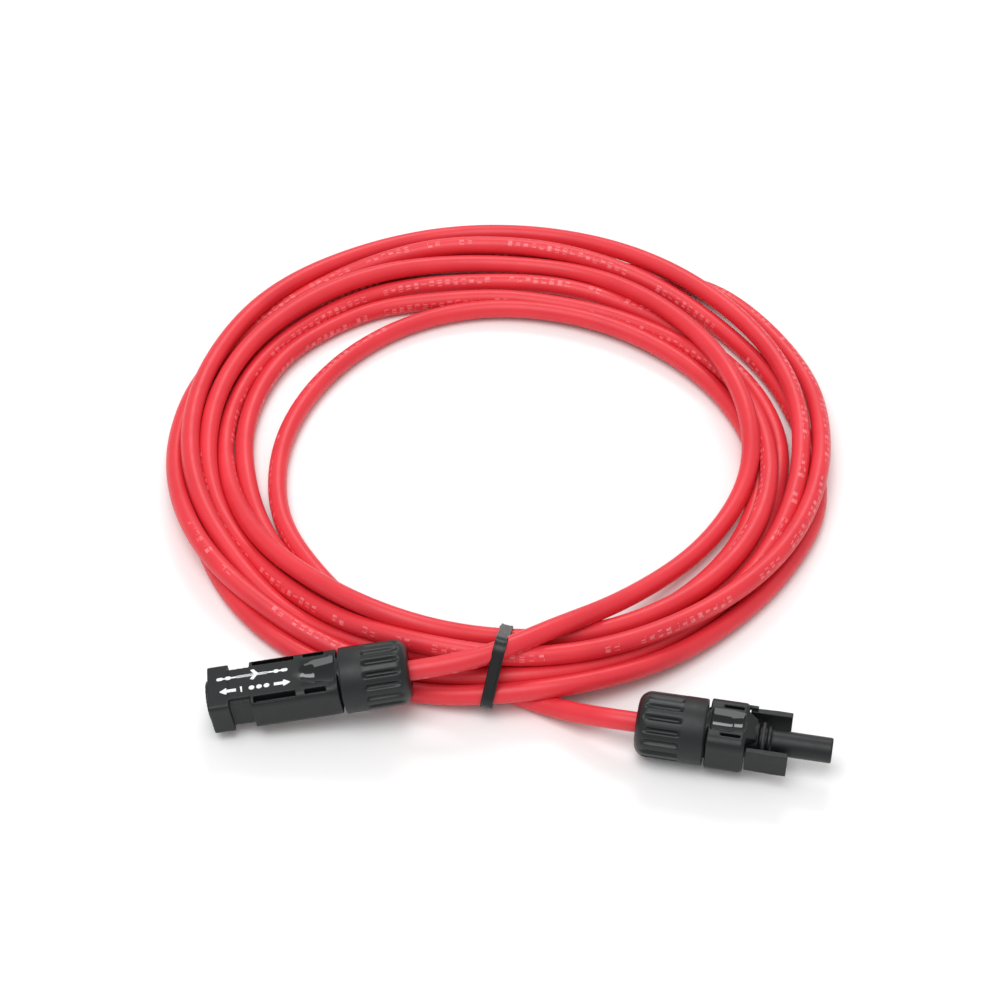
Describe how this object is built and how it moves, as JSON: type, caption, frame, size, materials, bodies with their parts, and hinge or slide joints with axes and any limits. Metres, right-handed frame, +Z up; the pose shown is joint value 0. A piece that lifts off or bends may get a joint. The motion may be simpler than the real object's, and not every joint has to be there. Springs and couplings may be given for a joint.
{
  "type": "solar cable connector",
  "caption": "Coiled single-core solar extension lead, tied with a cable tie, with a sealed locking pin connector on one end and its mating socket connector on the other.",
  "frame": {"origin": "on the surface the lead lies on, midway between the two connectors in plan", "axes": "+Z up; +X from the pin connector towards the socket connector; +Y from the connectors across the coil"},
  "size_m": [0.213, 0.241, 0.0248],
  "materials": {
    "cable_coil": "satin red sheath",
    "cable_tail_female": "satin red sheath",
    "cable_tail_male": "satin red sheath",
    "cable_tie": "black nylon",
    "female_cable_end": "satin red sheath",
    "female_cap_nut": "matte moulded black plastic",
    "female_clamp_cage": "matte moulded black plastic",
    "female_conductor": "tinned fine copper strand",
    "female_contact_clip": "stainless spring steel",
    "female_gland_seal": "matte rubber",
    "female_housing": "matte moulded black plastic",
    "female_latch_finger_back": "matte moulded black plastic",
    "female_latch_finger_front": "matte moulded black plastic",
    "female_socket": "tin plated copper alloy",
    "male_cable_end": "satin red sheath",
    "male_cap_nut": "matte moulded black plastic",
    "male_clamp_cage": "matte moulded black plastic",
    "male_conductor": "tinned fine copper strand",
    "male_contact_clip": "stainless spring steel",
    "male_gland_seal": "matte rubber",
    "male_housing": "matte moulded black plastic",
    "male_pin": "tin plated copper alloy",
    "nose_o_ring": "matte rubber"
  },
  "bodies": {
    "root": {"male_housing": "male_housing", "male_pin": "male_pin", "male_contact_clip": "male_contact_clip", "male_gland_seal": "male_gland_seal", "male_cable_end": "male_cable_end", "male_conductor": "male_conductor", "female_housing": "female_housing", "female_socket": "female_socket", "female_contact_clip": "female_contact_clip", "female_gland_seal": "female_gland_seal", "nose_o_ring": "nose_o_ring", "female_cable_end": "female_cable_end", "female_conductor": "female_conductor", "cable_coil": "cable_coil", "cable_tail_male": "cable_tail_male", "cable_tail_female": "cable_tail_female", "cable_tie": "cable_tie"},
    "male_clamp": {"male_clamp_cage": "male_clamp_cage"},
    "male_nut": {"male_cap_nut": "male_cap_nut"},
    "female_clamp": {"female_clamp_cage": "female_clamp_cage"},
    "female_nut": {"female_cap_nut": "female_cap_nut"},
    "finger_front": {"female_latch_finger_front": "female_latch_finger_front"},
    "finger_back": {"female_latch_finger_back": "female_latch_finger_back"}
  },
  "joints": [
    {"name": "male_clamp_slide", "type": "slide", "parent": "root", "child": "male_clamp", "axis": [0.9882, 0.0952, 0.1201], "range_m": [0, 0.008]},
    {"name": "male_nut_turn", "type": "hinge", "parent": "male_clamp", "child": "male_nut", "pos_m": [-0.04099, 0.01002, 0.01455], "axis": [0.9882, 0.0952, 0.1201], "range_deg": [0, 1440]},
    {"name": "female_clamp_slide", "type": "slide", "parent": "root", "child": "female_clamp", "axis": [-0.9826, 0.1857, 0], "range_m": [0, 0.008]},
    {"name": "female_nut_turn", "type": "hinge", "parent": "female_clamp", "child": "female_nut", "pos_m": [0.0446, -0.00537, 0.00975], "axis": [-0.9826, 0.1857, 0], "range_deg": [0, 1440]},
    {"name": "finger_front_flex", "type": "hinge", "parent": "root", "child": "finger_front", "pos_m": [0.06544, -0.01684, 0.00975], "axis": [0, 0, 1], "range_deg": [0, 6], "stiffness_Nm_per_rad": 0.5},
    {"name": "finger_back_flex", "type": "hinge", "parent": "root", "child": "finger_back", "pos_m": [0.06818, -0.0023, 0.00975], "axis": [0, 0, -1], "range_deg": [0, 6], "stiffness_Nm_per_rad": 0.5}
  ],
  "couplings": [
    {"joint": "male_nut_turn", "follows": "male_clamp_slide", "rad_per_m": 3141.6},
    {"joint": "female_nut_turn", "follows": "female_clamp_slide", "rad_per_m": 3141.6}
  ]
}
